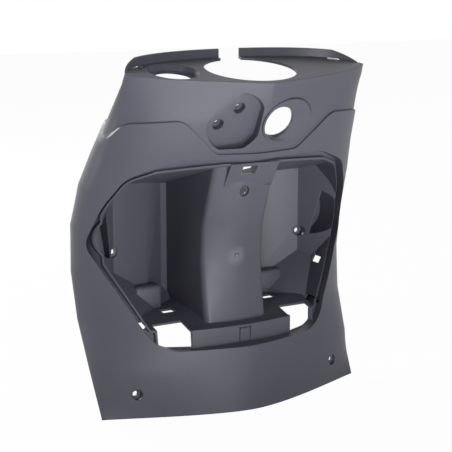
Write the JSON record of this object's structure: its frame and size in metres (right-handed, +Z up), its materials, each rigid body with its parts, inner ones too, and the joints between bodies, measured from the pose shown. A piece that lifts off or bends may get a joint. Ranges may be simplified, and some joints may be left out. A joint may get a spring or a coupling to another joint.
{
  "type": "scooter leg shield",
  "caption": "Moulded inner leg shield for a small scooter, with a glove-box tub round the steering column, a key-lock hole and a steering cut-out.",
  "frame": {"origin": "midway between the two lower screw holes, in the middle of their wall", "axes": "+Z up, -Y towards the rider (the side with the mouth of the tub), +X to the left of a rider who looks back at it, which is right in the picture"},
  "size_m": [0.3676, 0.1912, 0.423],
  "materials": {
    "shield_plastic": "fine-grained black moulded polypropylene"
  },
  "bodies": {
    "root": {"leg_shield": "shield_plastic"}
  },
  "joints": []
}
